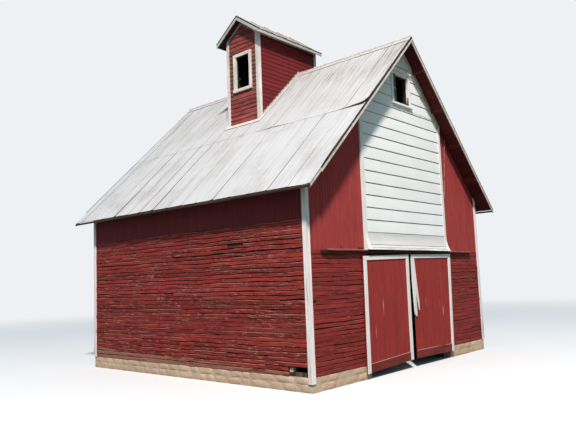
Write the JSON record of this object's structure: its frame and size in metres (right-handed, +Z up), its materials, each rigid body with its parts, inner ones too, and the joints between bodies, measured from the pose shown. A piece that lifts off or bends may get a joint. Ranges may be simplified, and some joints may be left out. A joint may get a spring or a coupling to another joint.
{
  "type": "timber barn",
  "caption": "Red timber barn with slatted walls, a white flared gable panel over two sliding doors, a metal sheet roof and a ridge headhouse.",
  "frame": {"origin": "middle of the barn's plan at the lowest ground, on the underside of the foundation", "axes": "+X right along the doorway front, +Y from the front to the rear along the ridge, +Z up"},
  "size_m": [9.338, 9.542, 10.4226],
  "materials": {
    "stone": "rough tan limestone rubble",
    "red_boards": "weathered barn-red paint on boards",
    "white_boards": "weathered white paint on boards",
    "roof_metal": "chalky white-painted sheet steel with rust streaks",
    "timber": "bare weathered timber",
    "iron": "dark galvanised steel"
  },
  "bodies": {
    "barn": {"foundation_left": "stone", "foundation_right": "stone", "foundation_rear": "stone", "foundation_front": "stone", "wall_left": "red_boards", "wall_right": "red_boards", "wall_rear": "red_boards", "gable_rear": "red_boards", "wall_front_left": "red_boards", "wall_front_right": "red_boards", "gable_front_left": "red_boards", "gable_front_right": "red_boards", "gable_front_middle": "red_boards", "gable_panel": "white_boards", "door_hood": "white_boards", "panel_edge_boards": "white_boards", "rake_frieze": "white_boards", "gable_window_frame": "white_boards", "corner_boards": "white_boards", "door_track": "iron", "track_covers": "red_boards", "roof_left": "roof_metal", "roof_right": "roof_metal", "roof_boards_left": "red_boards", "roof_boards_right": "red_boards", "ridge_cap": "roof_metal", "rafters_left": "timber", "rafters_right": "timber", "eave_fascias": "roof_metal", "bargeboards": "white_boards", "lookouts": "red_boards", "headhouse_front": "red_boards", "headhouse_rear": "red_boards", "headhouse_sides": "red_boards", "headhouse_corner_boards": "white_boards", "headhouse_window_frame": "white_boards", "headhouse_roof": "roof_metal", "headhouse_roof_boards": "red_boards", "headhouse_trim": "white_boards"},
    "left_door": {"door_left": "red_boards", "door_left_trim": "white_boards", "door_left_hangers": "iron"},
    "right_door": {"door_right": "red_boards", "door_right_trim": "white_boards", "door_right_hangers": "iron"}
  },
  "joints": [
    {"name": "left_door_slide", "type": "slide", "parent": "barn", "child": "left_door", "axis": [-1, 0, 0], "range_m": [-0.055, 1.85]},
    {"name": "right_door_slide", "type": "slide", "parent": "barn", "child": "right_door", "axis": [1, 0, 0], "range_m": [-0.055, 1.74]}
  ]
}
